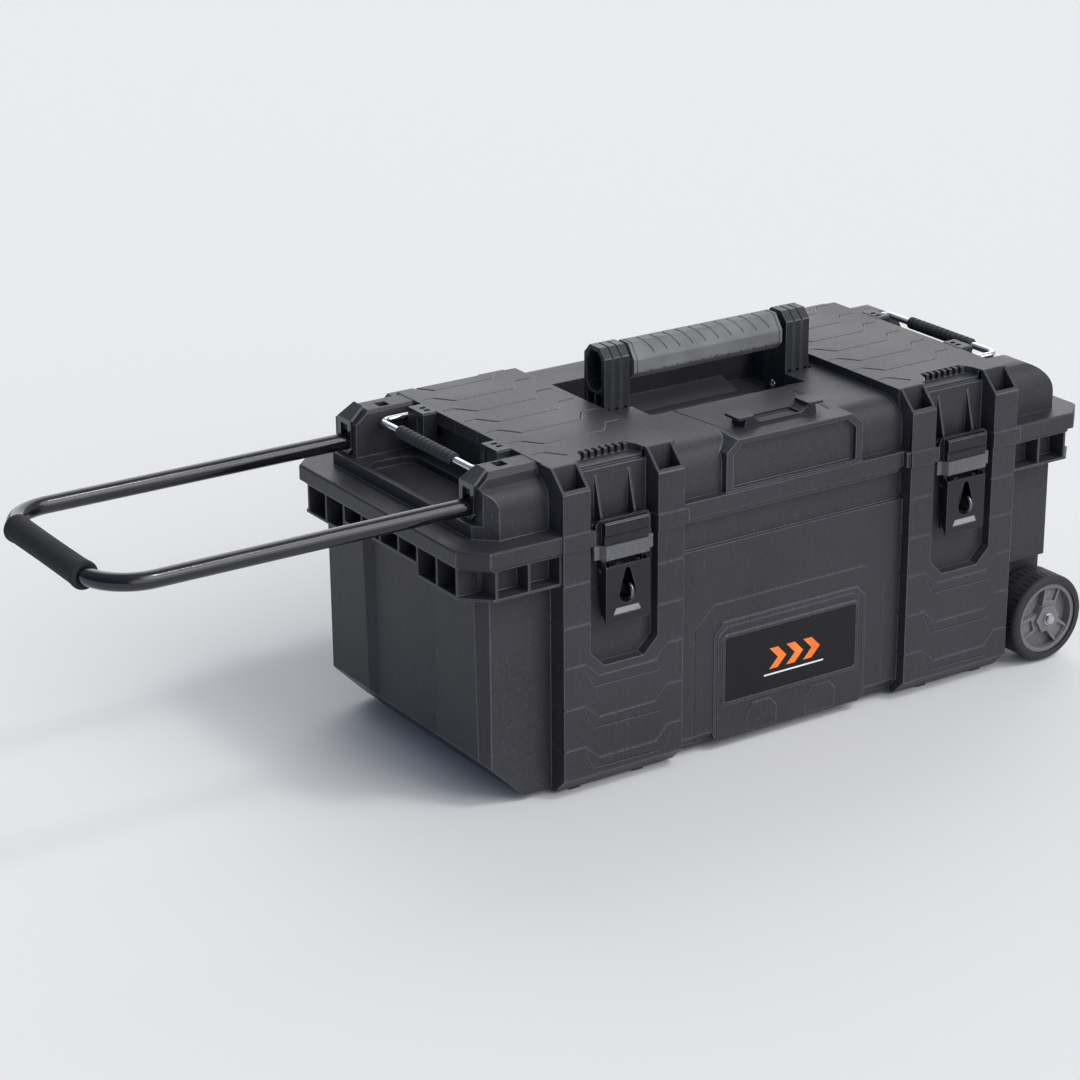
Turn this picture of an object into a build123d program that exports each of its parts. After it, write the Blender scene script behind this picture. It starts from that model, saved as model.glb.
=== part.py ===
from build123d import *
import math
import os

# Rolling tool box with a lift-up lid, an extending pull handle in the lid, a fold-flat carry
# handle, two wire bails, two draw latches and two wheels.
# Row frame, millimetres: +X along the box (wheels at +X, pull handle out at -X), -Y is the
# latch side, +Y the hinge side, +Z up.  Origin: centre of the base, on the floor plane.

# ---- driving dimensions ------------------------------------------------------------------
FLANGE_X = 360.0        # half length over the lid flange
FLANGE_Y = 160.5        # half depth over the lid flange
FLANGE_CUT = 22.0       # corner cut of the flange outline
FLANGE_TOP = 255.4
SPLIT_Z = 240.0         # underside of the lid flange
RIM_Z = 239.6           # top of the tub rim
DECK_Z = 304.0          # middle deck of the lid
PAD_Z = 313.0           # raised armour pads of the lid
SHELF_Z = 268.0         # sunken shelves at both ends of the lid
WALL = 3.0              # general moulding wall

PILLARS = [(-263.0, -234.0), (-161.0, -132.0), (132.0, 161.0), (234.0, 263.0)]
PILLAR_Y = 161.0
BAYS = [(-234.0, -161.0), (161.0, 234.0)]
BAY_MID = 197.5
PAD_IN = 130.0          # pads run from here ...
PAD_OUT = 262.0         # ... to here, measured from the middle
PAD_PITCH = 37.3        # spacing of the chevron lines on the pads

TUB_X = 337.0           # half length of the tub body
TUB_Y = 140.0           # half depth of the tub body
TUB_FLOOR = 5.0
BLOCK_FLOOR = 3.0
BAY_Y = 150.0           # depth of the latch bay floor in the tub
CHEVRON_ROWS = (129.0, 88.2, 48.2)
FIELD_Y = 151.6         # field round the name plate
BAND_X = 355.3          # outline of the ribbed band under the flange
BAND_Y = 157.5

TUBE_Y = 106.5          # pull handle tubes
TUBE_Z = 281.0
TUBE_R = 8.0
TUBE_WALL = 1.5
GRIP_X = -675.0         # axis of the pull handle cross bar
BEND_R = 45.0
TUBE_END = -256.0       # inner ends of the tubes with the handle out

POST_IN, POST_OUT = 92.0, 120.0     # carry handle posts
HANDLE_Z = 288.0        # carry handle pivot height
HANDLE_TOP = 363.5
GRIP_Z = 345.0

BAIL_PIVOT_X = 268.0
BAIL_PIVOT_Z = 302.0
BAIL_ROD_X = 303.0
BAIL_LEG_Y = 83.0
BAIL_R = 3.5

WHEEL_X, WHEEL_Z = 313.0, 46.0
WHEEL_R = 44.5
WHEEL_OUT, WHEEL_IN = 166.5, 128.5  # outer and inner faces, measured from the middle
AXLE_R = 4.0
AXLE_END_R = 3.0        # turned down ends that take washer and nut

HINGE_Y, HINGE_Z = 167.5, 246.0
KNUCKLE_R = 5.6
HINGE_PIN_R = 2.5
TUB_KNUCKLES = [(-38.0, -26.0), (-7.5, 7.5), (26.0, 38.0)]      # X spans about each hinge's middle
LID_KNUCKLES = [(-25.5, -8.0), (8.0, 25.5)]
HINGE_HALF = 38.0

LEVER_Y, LEVER_Z = -156.0, 224.0    # latch lever pivot
LINK_Y, LINK_Z = -156.5, 212.0      # pin between lever and claw
LEVER_TOP = 218.0       # upper edge of the lever cover
PIN_R = 1.5
RUN_GAP = 0.06          # radial clearance of the running fits


# ---- helpers -----------------------------------------------------------------------------
def block(x0, x1, y0, y1, z0, z1):
    """Box between two corners."""
    centre = ((x0 + x1) / 2, (y0 + y1) / 2, (z0 + z1) / 2)
    return Pos(*centre) * Box(abs(x1 - x0), abs(y1 - y0), abs(z1 - z0))


def prism_xy(points, z0, z1):
    """Outline in plan, extruded upwards."""
    outline = make_face(Polyline(*points, close=True))
    return extrude(Pos(0, 0, z0) * outline, z1 - z0)


def prism_yz(points, x0, x1):
    """Outline seen along X, extruded along X."""
    outline = Plane.YZ * make_face(Polyline(*points, close=True))
    return extrude(Pos(x0, 0, 0) * outline, x1 - x0)


def prism_xz(points, y0, y1):
    """Outline seen from the front, extruded from y1 towards y0."""
    outline = Plane.XZ * make_face(Polyline(*points, close=True))
    return extrude(Pos(0, y1, 0) * outline, y1 - y0)


def soft_prism_yz(points, radii, x0, x1):
    """Outline seen along X whose corners are rounded by the given radii (0 leaves a corner)."""
    face = make_face(Polyline(*points, close=True))
    for point, radius in zip(points, radii):
        if radius:
            corner = face.vertices().sort_by_distance((point[0], point[1], 0))[0]
            face = fillet(corner, radius)
    return extrude(Pos(x0, 0, 0) * (Plane.YZ * face), x1 - x0)


def soft_prism_xz(points, radii, y0, y1):
    """Outline seen from the front whose corners are rounded."""
    face = make_face(Polyline(*points, close=True))
    for point, radius in zip(points, radii):
        if radius:
            corner = face.vertices().sort_by_distance((point[0], point[1], 0))[0]
            face = fillet(corner, radius)
    return extrude(Pos(0, y1, 0) * (Plane.XZ * face), y1 - y0)


def soft_box(x0, x1, y0, y1, z0, z1, radius):
    """Box whose upright edges are rounded."""
    plan = Pos((x0 + x1) / 2, (y0 + y1) / 2, z0) * RectangleRounded(x1 - x0, y1 - y0, radius)
    return extrude(plan, z1 - z0)


def rod_x(x0, x1, y, z, radius):
    return Pos((x0 + x1) / 2, y, z) * Rot(0, 90, 0) * Cylinder(radius, abs(x1 - x0))


def rod_y(y0, y1, x, z, radius):
    return Pos(x, (y0 + y1) / 2, z) * Rot(90, 0, 0) * Cylinder(radius, abs(y1 - y0))


def octagon(half_x, half_y, cut_x, cut_y):
    """Rectangle outline with cut corners."""
    return [
        (-half_x, -half_y + cut_y), (-half_x + cut_x, -half_y),
        (half_x - cut_x, -half_y), (half_x, -half_y + cut_y),
        (half_x, half_y - cut_y), (half_x - cut_x, half_y),
        (-half_x + cut_x, half_y), (-half_x, half_y - cut_y),
    ]


def ribbon(points, width):
    """Closed outline of a strip of constant width that follows a bent line."""
    line = [Vector(*p) for p in points]
    sides = []
    for i, here in enumerate(line):
        before = (here - line[i - 1]).normalized() if i else None
        after = (line[i + 1] - here).normalized() if i + 1 < len(line) else None
        if before is None or after is None:
            heading = before or after
            reach = width / 2
        else:
            heading = (before + after).normalized()
            reach = width / 2 / max(0.3, heading.dot(after))
        side = Vector(-heading.Y, heading.X) * reach
        sides.append((here + side, here - side))
    left = [(a.X, a.Y) for a, b in sides]
    right = [(b.X, b.Y) for a, b in reversed(sides)]
    return left + right


def groove_front(points, width, face_y, depth):
    """Groove cut into a front face that lies at y = -face_y."""
    return prism_xz(ribbon(points, width), -face_y - 1, -face_y + depth)


def groove_top(points, width, face_z, depth):
    """Groove cut into a top face."""
    return prism_xy(ribbon(points, width), face_z - depth, face_z + 1)


def both_sides(part):
    """The part and its mirror image behind the XZ plane."""
    return part + mirror(part, Plane.XZ)


def both_ends(part):
    """The part and its mirror image at the other end of the box."""
    return part + mirror(part, Plane.YZ)


# ---- lid ---------------------------------------------------------------------------------
RIDGE_IN, RIDGE_OUT = 90.0, 120.0       # tube housings, measured from the middle in Y
RIDGE_END = 325.0
DOME_X, DOME_Y = 333.0, 138.0
SHOULDER_Z = 301.0
PLAIN_END = 329.5                       # outer end of the plain shoulders at the wheel end
PLAIN_Z = 304.0
CENTRE_Y = 145.0
FRONT_BOX_Y = 152.0
RECESS_FLOOR = 268.0
RECESS = [(-90.0, 90.0, -50.0, 80.0), (-124.0, -88.0, -18.0, 80.0), (88.0, 124.0, -18.0, 80.0)]


def housing():
    """Front left tube housing with the rounded shoulder outside it."""
    section = [(-RIDGE_OUT, 250), (-RIDGE_OUT, 307), (-115, 312), (-93, 312), (-RIDGE_IN, 309),
               (-RIDGE_IN, 250)]
    side = [(-RIDGE_END, 250), (-RIDGE_END, 300), (-309, 312.5), (-250, 312.5), (-250, 250)]
    ridge = prism_yz(section, -RIDGE_END, -250) & prism_xz(side, -130, -80)
    shoulder = soft_prism_yz([(-DOME_Y, 250), (-DOME_Y, SHOULDER_Z), (-118, SHOULDER_Z), (-118, 250)],
                             [0, 18.5, 0, 0], -RIDGE_END, -250)
    plan = prism_xy(octagon(DOME_X, DOME_Y, 19, 17), 250, SHOULDER_Z + 1)
    return ridge + (shoulder & plan)


def plain_shoulder():
    """Front right shoulder: one smooth body, rounded to the front and to the end."""
    front = -DOME_Y - 0.5
    across = soft_prism_yz([(front, 250), (front, PLAIN_Z), (-RIDGE_IN, PLAIN_Z), (-RIDGE_IN, 250)],
                           [0, 26, 5, 0], 250, PLAIN_END)
    along = soft_prism_xz([(250, 250), (250, PLAIN_Z), (PLAIN_END, PLAIN_Z), (PLAIN_END, 250)],
                          [0, 0, 33, 0], -140, -80)
    return across & along


def pad_section(z_low, inset):
    """Section of an armour pad, seen along X."""
    front, back = -141 + inset, 141 - inset
    z_top = PAD_Z - inset
    return [(front, z_low), (front, z_top), (120, z_top), (back, z_top - 21), (back, z_low)]


def left_pad():
    """Left armour pad with the undercut lip at its outer end."""
    pad = prism_yz(pad_section(250, 0), -PAD_OUT, -PAD_IN)
    return pad - block(-PAD_OUT - 1, -PAD_OUT + 6, -RIDGE_IN, RIDGE_IN, SHELF_Z, 300)


def pillar(x0, x1):
    """Front pillar of the lid, open at its slanted top."""
    section = [(-PILLAR_Y, SPLIT_Z), (-PILLAR_Y, 293), (-141, PAD_Z), (-125, PAD_Z), (-125, SPLIT_Z)]
    return prism_yz(section, x0, x1)


def pillar_pocket(x0, x1):
    return block(x0 + WALL, x1 - WALL, -PILLAR_Y + WALL, -141, 262, 330)


def comb_notch(x0, x1):
    """Notch at the head of a latch bay, with a row of comb teeth standing in it."""
    cut = prism_xy([(x0, -142), (x0 + 12, -128), (x0 + 16, -116), (x1 - 10, -116), (x1 - 2, -128),
                    (x1, -142)], 306, 330)
    step = block(x0, x1, -150, -136, 303, 330)
    return cut + step


def comb_teeth(x0):
    first, pitch = x0 + 20, 7.2
    return [block(first + i * pitch, first + i * pitch + 3.4, -121, -115, 304, PAD_Z - 0.6) for i in range(7)]


def lid_grooves():
    """Stepped chevron lines across the two pads, and the joints in the lips of the pads."""
    cuts = []
    for x0, first in ((-256.5, -119.5), (131.5, -125.5)):
        for i in range(7):
            low = first + i * PAD_PITCH
            high = low + 18
            line = [(x0, high), (x0 + 12.5, high), (x0 + 26, low)]
            if i:
                line += [(x0 + 90.5, low), (x0 + 104, high), (x0 + 120, high)]
            cuts.append(groove_top(line, 1.0, PAD_Z, 1.0))
            cuts.append(groove_top([(x0 + 12.5, high - 0.5), (x0 + 26, low - 0.5)], 2.2, PAD_Z, 1.0))
    for x, first in ((-PAD_OUT, -58.5), (PAD_IN, -100)):
        for i in range(5):
            y = first + i * PAD_PITCH
            cuts.append(block(x - 0.9, x + 0.9, y - 0.6, y + 0.6, DECK_Z + 1, PAD_Z + 1))
    return cuts


def recess_cut(grow):
    """Room of the carry handle in the deck."""
    parts = [block(x0 - grow, x1 + grow, y0 - grow, y1 + grow, RECESS_FLOOR - grow, 340)
             for x0, x1, y0, y1 in RECESS]
    return parts[0] + parts[1] + parts[2]


def lid_outside():
    """Solid outer form of the lid."""
    form = prism_xy(octagon(FLANGE_X, FLANGE_Y, FLANGE_CUT, FLANGE_CUT), SPLIT_Z, FLANGE_TOP)
    form = fillet(form.edges().group_by(Axis.Z)[-1], 2.5)
    form -= block(-127, 127, -170, -155, 230, 260)
    for x0, x1 in BAYS:
        form -= block(x0, x1, -170, -141, 230, 260)
    form += prism_xy(octagon(DOME_X, DOME_Y, 19, 17), 250, SHELF_Z)
    form += both_sides(housing())
    form += both_sides(plain_shoulder())
    form += both_ends(left_pad())
    middle = [(-CENTRE_Y, 250), (-CENTRE_Y, DECK_Z), (CENTRE_Y, DECK_Z), (CENTRE_Y, 250)]
    form += soft_prism_yz(middle, [0, 24, 24, 0], -PAD_IN - 4, PAD_IN + 4)
    face = [(-79, 250), (-79, 293), (-66, DECK_Z), (66, DECK_Z), (79, 293), (79, 250)]
    form += prism_xz(face, -FRONT_BOX_Y, -120)
    for x0, x1 in PILLARS:
        form += pillar(x0, x1)
        form += block(x0 - 1, x1 + 4, -163, -150, SPLIT_Z, 254.6)
        form += mirror(prism_yz([(-FLANGE_Y, 250), (-FLANGE_Y, 285), (-138, 307), (-120, 307), (-120, 250)],
                                x0, x1), Plane.XZ)
    return form


def lid_inside():
    """Hollow of the lid, kept one wall inside the outer form."""
    hollow = prism_xy(octagon(DOME_X - WALL, DOME_Y - WALL, 19, 17), 239, 257)
    pads = prism_yz(pad_section(239, WALL), -PAD_OUT + 9, -PAD_IN - WALL)
    hollow += both_ends(pads)
    inner_y = CENTRE_Y - WALL
    middle = [(-inner_y, 239), (-inner_y, DECK_Z - WALL), (inner_y, DECK_Z - WALL), (inner_y, 239)]
    hollow += soft_prism_yz(middle, [0, 21, 21, 0], -PAD_IN - 2, PAD_IN + 2)
    ridge = block(-RIDGE_END + WALL, -240, -117, -93, 245, 300)
    hollow += both_sides(ridge)
    hollow += both_sides(block(240, 305, -117, -93, 245, 298))
    # The hollow runs on through the steps between the deck and the pads.
    hollow += both_ends(block(-PAD_IN - 10, -PAD_IN + 4, -115, 115, 245, DECK_Z - 6))
    hollow -= recess_cut(WALL)
    for x0, x1 in BAYS:
        hollow -= block(x0, x1, -150, -113, 300, 330)
    return hollow


def hinge_rod(side, radius):
    """Rod on the line of one rear hinge, as long as its knuckles."""
    return rod_x(side * BAY_MID - HINGE_HALF, side * BAY_MID + HINGE_HALF, HINGE_Y, HINGE_Z, radius)


def lid_knuckles():
    """Lid side of both rear hinges."""
    parts = []
    for side in (-1, 1):
        for low, high in LID_KNUCKLES:
            x0, x1 = side * BAY_MID + low, side * BAY_MID + high
            web = prism_yz([(155, 247), (HINGE_Y, 241.5), (HINGE_Y, 251.6), (155, FLANGE_TOP)], x0, x1)
            parts.append(web + rod_x(x0, x1, HINGE_Y, HINGE_Z, KNUCKLE_R))
    return parts


def lid_shell():
    shell = lid_outside() - lid_inside()
    shell -= recess_cut(0)
    # Channel under the flange that sits over the tub rim, and the groove of the seal.
    channel = prism_xy(octagon(FLANGE_X - 5, FLANGE_Y - 5, 20, 20), 239, 249)
    channel -= prism_xy(octagon(343, 143, 17, 17), 238, 250)
    channel -= block(-270, 270, -200, -130, 238, 251)
    shell -= channel
    shell -= seal_ring()
    for x0, x1 in PILLARS:
        shell -= pillar_pocket(x0, x1)
    for x0, x1 in BAYS:
        shell -= comb_notch(x0, x1)
        for tooth in comb_teeth(x0):
            shell += tooth
        for offset in (-18, 18):
            mid = (x0 + x1) / 2 + offset
            rib = [(-140, 297), (-141.5, 297), (-152, 256.8), (-140, 256.8)]
            shell += prism_yz(rib, mid - 1.2, mid + 1.2)
    # Shelves at both ends with a shallow rounded tray.
    for side in (-1, 1):
        x0, x1 = sorted((side * 327, side * 276))
        shell -= soft_box(x0, x1, -72, 72, 260.5, 300, 14)
    # Square holes in the tops of the tube housings.
    for y in (-101, 101):
        shell -= block(-296, -285, y - 6.5, y + 6.5, 290, 330)
    # Sunken panel in the front box.
    panel = [(-71, 258), (-71, 290), (-61, 299), (61, 299), (71, 290), (71, 258)]
    shell -= prism_xz(panel, -170, -CENTRE_Y - 2)
    # Mouths of the tube housings.
    for y in (-TUBE_Y, TUBE_Y):
        shell -= rod_x(-RIDGE_END - 2, -RIDGE_END + WALL + 2, y, TUBE_Z, 10.2)
    for groove in lid_grooves():
        shell -= groove
    shell -= both_ends(groove_top([(-66, -50), (-57, -128)], 1.0, DECK_Z, 1.0))
    # Sloping back of the handle recess, and the bores of the carry handle screws.
    shell += prism_yz([(52, 265), (52, RECESS_FLOOR), (80, RECESS_FLOOR + 8), (82, 265)], -88, 88)
    for side in (-1, 1):
        shell -= rod_x(side * 123, side * 127.5, 0, HANDLE_Z, 3.0)
    for knuckle in lid_knuckles():
        shell += knuckle
    for side in (-1, 1):
        shell -= hinge_rod(side, HINGE_PIN_R + RUN_GAP)
    return shell


def seal_ring():
    """Soft seal in the underside of the lid, all round the mouth."""
    outer = prism_xy(octagon(337, 141, 18, 17), SPLIT_Z, SPLIT_Z + 3)
    return outer - prism_xy(octagon(333.5, 138.2, 18, 17), SPLIT_Z - 1, SPLIT_Z + 4)


def tube_cap(y):
    """Glossy end cap of a tube housing, with a keyhole above the tube and a pointed tail."""
    side = [(-311.5, 313.0), (-325.3, 302.6), (-325.3, 268.2), (-328.2, 268.2), (-328.2, 303.4),
            (-312.6, 315.0)]
    cap = prism_xz(side, y - 12, y + 12)
    front = [(y - 12, 303), (y - 7.5, 316), (y + 7.5, 316), (y + 12, 303), (y + 12, 276),
             (y + 5, 268), (y - 5, 268), (y - 12, 276)]
    cap = cap & prism_yz(front, -340, -300)
    cap -= rod_x(-345, -320, y, TUBE_Z, TUBE_R + 0.5)
    cap -= block(-345, -320, y - 6.5, y + 6.5, TUBE_Z, 298.5)
    return cap


def tube_guide(y):
    """Plastic bush that the handle tube slides through."""
    return rod_x(-321.5, -262, y, TUBE_Z, 10) - rod_x(-330, -250, y, TUBE_Z, TUBE_R + 0.3)


def bail_bracket(side, front):
    """Block that holds one end of a wire bail."""
    x0, x1 = sorted((side * 277, side * 262.2))
    y0, y1 = sorted((front * 49, front * 77))
    body = block(x0, x1, y0, y1, 284, 313.4)
    body = chamfer(body.edges().filter_by(Axis.X).group_by(Axis.Z)[-1], 1.5)
    bore_end = front * 58
    body -= rod_y(front * 78, bore_end, side * BAIL_PIVOT_X, BAIL_PIVOT_Z, BAIL_R + RUN_GAP)
    for y in (55, 63):
        low, high = sorted((front * y, front * (y + 5)))
        body -= block(side * 268 - 3, side * 268 + 3, low, high, 310.5, 320)
    low, high = sorted((front * 55, front * 60))
    body -= block(side * 277 - 2, side * 277 + 2, low, high, 287, 308)
    return body


def tape_cleat():
    """Cleat on the front box: a low framed tray between two T shaped horns."""
    y0, y1 = -129.0, -108.5
    tray = block(-31, 31, y0, y1, DECK_Z, 307.5) - block(-27, 27, y0 + 1.8, y1 - 1.8, DECK_Z + 1, 310)
    cleat = tray
    for side in (-1, 1):
        slope = [(side * 24, DECK_Z), (side * 24, 307.5), (side * 32, 312.5), (side * 40, 312.5),
                 (side * 42, DECK_Z)]
        horn = prism_xz(slope, y0, y1) - prism_xz([(side * 26, 307), (side * 31, 310.5), (side * 31, 318),
                                                   (side * 20, 318), (side * 20, 307)], y0 + 1.8, y1 - 1.8)
        x0, x1 = sorted((side * 31, side * 50))
        top = soft_box(x0, x1, y0 - 1, y1 + 1, 312, 315, 2.5)
        cleat += horn + top
    return cleat


def latch_keeper(mid):
    """Bar that the claw pulls down on."""
    bar = block(mid - 30, mid + 30, -153.6, -141, 245, 256.4)
    return chamfer(bar.edges().filter_by(Axis.X).group_by(Axis.Z)[-1].sort_by(Axis.Y)[:1], 2)


def handle_pin(side):
    """Shouldered screw on which a carry handle post turns."""
    shank = rod_x(side * 91, side * 127.2, 0, HANDLE_Z, 3.0)
    head = rod_x(side * 89.2, side * 91.6, 0, HANDLE_Z, 4.2)
    head = chamfer(head.edges().sort_by(Axis.X)[-1 if side < 0 else 0], 0.6)
    slot = block(side * 89.2 - 0.9, side * 89.2 + 0.9, -3, 3, HANDLE_Z - 0.5, HANDLE_Z + 0.5)
    return shank + head - slot


# ---- tub ---------------------------------------------------------------------------------
def body_profile(inset):
    """Front view of the tub body: upright ends with a long 45 degree cut at the foot."""
    x_top, x_low = TUB_X - inset, TUB_X - 2 - inset
    floor = TUB_FLOOR + inset
    cut = 42.0 - 0.4 * inset
    return [(-x_top, RIM_Z + 10), (-x_low, floor + cut), (-x_low + cut, floor), (x_low - cut, floor),
            (x_low, floor + cut), (x_top, RIM_Z + 10)]


def front_block(x0, x1):
    """Heavy front block that carries two pillars and a latch bay."""
    section = [(-PILLAR_Y, 18), (-PILLAR_Y, RIM_Z), (-110, RIM_Z), (-110, BLOCK_FLOOR), (-146, BLOCK_FLOOR)]
    return prism_yz(section, x0, x1)


def bay_cut(x0, x1):
    outline = [(x0, 250), (x0, 138), (x0 + 15, 123), (x1 - 15, 123), (x1, 138), (x1, 250)]
    return prism_xz(outline, -170, -BAY_Y)


def ribbed_band():
    """Box cells under the rim at the left end."""
    body = prism_xy(octagon(TUB_X - 1, TUB_Y - 1, 10, 12), 200, RIM_Z)
    outline = prism_xy(octagon(BAND_X, BAND_Y, FLANGE_CUT, FLANGE_CUT), 208, RIM_Z)
    outline = outline & block(-400, -262, -200, 200, 200, 250)
    rim = outline & block(-400, 0, -200, 200, 236, 250)
    floor_low = outline & (block(-400, 0, -200, -66, 208, 210.5) + block(-400, 0, 66, 200, 208, 210.5))
    floor_high = outline & block(-400, 0, -66, 66, 219, 221.5)
    ribs = block(-400, -300, -66.5, -63.5, 208, RIM_Z) + block(-400, -300, 63.5, 66.5, 208, RIM_Z)
    for y in (-131, -98, 98, 131):
        ribs += block(-400, -300, y - 1.3, y + 1.3, 208, RIM_Z)
    for y in (-32.5, 0, 32.5):
        ribs += block(-400, -300, y - 1.3, y + 1.3, 219, RIM_Z)
    for x in (-330, -296.5, -263.3):
        ribs += block(x - 1.3, x + 1.3, -200, 200, 208, RIM_Z) - block(-400, 0, -130, 130, 200, 250)
    return (rim + floor_low + floor_high + (ribs & outline)) - body


def wheel_well(grow):
    """Cut-out round a wheel at the lower right corners."""
    z_top = 104 + grow
    inner = 124 - grow
    return both_sides(block(263 - grow, 350, -170, -inner, -1, z_top))


def axle_channel(grow):
    """Channel under the right end in which the axle lies."""
    half = 7 + grow
    return block(WHEEL_X - half, WHEEL_X + half, -124, 124, -1, 54 + grow)


def tub_knuckles():
    parts = []
    for side in (-1, 1):
        for low, high in TUB_KNUCKLES:
            x0, x1 = side * BAY_MID + low, side * BAY_MID + high
            web = prism_yz([(150, 222), (HINGE_Y + KNUCKLE_R, 240), (HINGE_Y + KNUCKLE_R, HINGE_Z),
                            (HINGE_Y - 5.2, HINGE_Z), (HINGE_Y - 5.2, RIM_Z), (150, RIM_Z)], x0, x1)
            parts.append(web + rod_x(x0, x1, HINGE_Y, HINGE_Z, KNUCKLE_R))
    return parts


def tub_grooves():
    """Lines across the pillars and three rows of stepped chevrons on each front block."""
    cuts = []
    for left in (-263.0, 132.0):
        right = left + 131
        levels = [208, 168]
        for z in levels:
            cuts.append(groove_front([(left - 1, z), (left + 29, z)], 1.2, PILLAR_Y, 1.0))
            cuts.append(groove_front([(left + 102, z), (right + 1, z)], 1.2, PILLAR_Y, 1.0))
        for z in CHEVRON_ROWS:
            row = [(left - 1, z), (left + 24, z), (left + 39, z - 14), (left + 101, z - 14),
                   (left + 114, z), (right + 1, z)]
            cuts.append(groove_front(row, 1.0, PILLAR_Y, 1.0))
            cuts.append(groove_front([(left + 23.5, z - 4.5), (left + 33.5, z - 23.5)], 1.1, PILLAR_Y, 0.9))
            cuts.append(groove_front([(left + 33.5, z - 23.5), (left + 103, z - 24.5)], 0.8, PILLAR_Y, 0.4))
            levels.append(z)
        # The lines run on round the left flank of the block.
        for z in levels:
            cuts.append(block(left - 1, left + 0.9, -PILLAR_Y - 1, -TUB_Y, z - 0.6, z + 0.6))
    return cuts


def rounded_field(half, low, high, radius, y0, y1):
    """Upright plate with rounded corners, between two depths."""
    outline = Pos(0, (low + high) / 2) * RectangleRounded(2 * half, high - low, radius)
    return extrude(Pos(0, y1, 0) * (Plane.XZ * outline), y1 - y0)


def label_frame():
    """Low field with a line inside its edge, a rounded rim round the name plate and two arched pads."""
    field = [(-90, 16), (-90, 117), (-79, 128), (79, 128), (90, 117), (90, 16), (84, 9), (-84, 9)]
    frame = prism_xz(field, -FIELD_Y, -140)
    inner = [(-86, 8), (-86, 113.5), (-76, 123.5), (76, 123.5), (86, 113.5), (86, 8)]
    frame -= groove_front(inner, 1.0, FIELD_Y, 0.9)
    frame += rounded_field(80.5, 44.0, 115.0, 5.5, -152.9, -145)
    frame -= rounded_field(77.0, 47.5, 111.5, 3.0, -154, -151.5)
    for x in (-33.8, 36.2):
        arch = [(x - 17.6, 12), (x - 17.6, 31), (x - 10, 39), (x + 10, 39), (x + 17.6, 31), (x + 17.6, 12)]
        frame += prism_xz(arch, -152.8, -145)
    return frame


def tub_shell():
    body = prism_xy(octagon(TUB_X, TUB_Y, 10, 12), TUB_FLOOR, RIM_Z)
    body = body & prism_xz(body_profile(0), -200, 200)
    for x0 in (-263, 132):
        body += front_block(x0, x0 + 131)
        rear = [(-151, 18), (-151, RIM_Z), (-110, RIM_Z), (-110, BLOCK_FLOOR), (-138, BLOCK_FLOOR)]
        body += mirror(prism_yz(rear, x0, x0 + 131), Plane.XZ)
    lower = [(-150, 20), (-150, 206), (-110, 206), (-110, 8), (-139, 8)]
    body += prism_yz(lower, -133, 133)
    body += block(-133, 133, -146, -110, 200, RIM_Z)
    body += block(-124, 124, -152.5, -140, 235, 238.8)
    body += label_frame()
    # Shallow panels in both ends.
    for side in (-1, 1):
        panel = [(side * 340, -65), (side * 337, -65), (side * 330, -52), (side * 330, 52),
                 (side * 337, 65), (side * 340, 65)]
        body -= prism_xy(panel, 0, 207)
    body += both_ends(ribbed_band())
    rim_back = prism_xy(octagon(BAND_X, BAND_Y, FLANGE_CUT, FLANGE_CUT), 236, RIM_Z)
    body += rim_back & block(-264, 264, 110, 200, 230, 250)
    # Hollow inside.
    hollow = prism_xy(octagon(TUB_X - WALL, TUB_Y - WALL, 10, 12), TUB_FLOOR + WALL, RIM_Z + 1)
    hollow = hollow & prism_xz(body_profile(WALL), -200, 200)
    for side in (-1, 1):
        x0, x1 = sorted((side * 327, side * 340))
        hollow -= block(x0, x1, -68, 68, 0, 250)
    for x0 in (-263, 132):
        front = [(-PILLAR_Y + WALL, 20), (-PILLAR_Y + WALL, 232), (-130, 232), (-130, 7), (-145, 7)]
        hollow += prism_yz(front, x0 + WALL, x0 + 131 - WALL)
    for x0, x1 in BAYS:
        hollow -= block(x0 - WALL, x1 + WALL, -170, -BAY_Y + WALL, 120, 250)
    hollow -= wheel_well(WALL)
    hollow -= axle_channel(WALL)
    body -= hollow
    for x0, x1 in BAYS:
        body -= bay_cut(x0, x1)
    body -= wheel_well(0)
    body -= axle_channel(0)
    # Flat base pad on the floor and small foot nubs under the blocks.
    body += block(-150, 150, -80, 80, 0, TUB_FLOOR + 1)
    for x in (-240, -170, 170, 240):
        body += both_sides(block(x - 6, x + 6, -144, -132, 0, BLOCK_FLOOR + 1))
    for groove in tub_grooves():
        body -= groove
    hexagon = [(-111, 10), (-111, 126), (-88, 148), (88, 148), (111, 126), (111, 10)]
    body -= groove_front(hexagon, 1.2, 150, 0.8)
    # Bores of the axle and of the hinge pins.
    body -= rod_y(-130, 130, WHEEL_X, WHEEL_Z, AXLE_R)
    for knuckle in tub_knuckles():
        body += knuckle
    for side in (-1, 1):
        body -= hinge_rod(side, HINGE_PIN_R)
    return body


def name_plate():
    return rounded_field(76.7, 47.8, 111.2, 2.7, -152.7, -151.5)


TREAD_SLITS = 45


# ---- wheels ------------------------------------------------------------------------------
def wheel_axle():
    shaft = rod_y(-166.8, 166.8, WHEEL_X, WHEEL_Z, AXLE_R)
    return shaft + rod_y(-171.4, 171.4, WHEEL_X, WHEEL_Z, AXLE_END_R)


def axle_washers():
    parts = []
    for side in (-1, 1):
        ring = rod_y(side * 166.8, side * 167.8, WHEEL_X, WHEEL_Z, 6.2)
        parts.append(ring - rod_y(side * 160, side * 175, WHEEL_X, WHEEL_Z, AXLE_END_R))
    return Compound(children=parts)


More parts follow.
